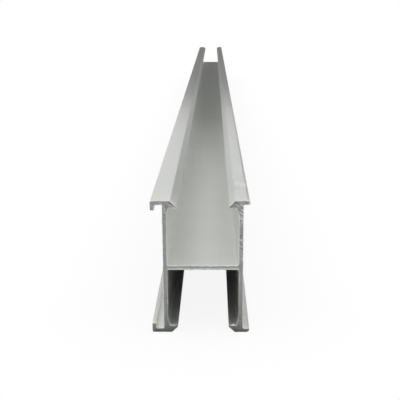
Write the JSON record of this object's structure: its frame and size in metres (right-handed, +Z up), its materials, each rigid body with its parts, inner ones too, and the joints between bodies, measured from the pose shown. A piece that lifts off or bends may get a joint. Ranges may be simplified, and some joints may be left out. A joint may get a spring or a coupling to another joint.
{
  "type": "solar mounting rail",
  "caption": "Straight aluminium H-section solar mounting rail, with a lipped slot above and below its web, hooked flanges on one side and plain ones on the other.",
  "frame": {"origin": "under the middle of the length, halfway across the section, on the lower flanges' faces", "axes": "+Y along the rail's length, +X from the hooked flanges to the plain ones, +Z up"},
  "size_m": [0.0428, 1.2, 0.06],
  "materials": {
    "mill_aluminium": "mill-finish extrusion, satin, with sawn ends"
  },
  "bodies": {
    "root": {"rail": "mill_aluminium"}
  },
  "joints": []
}
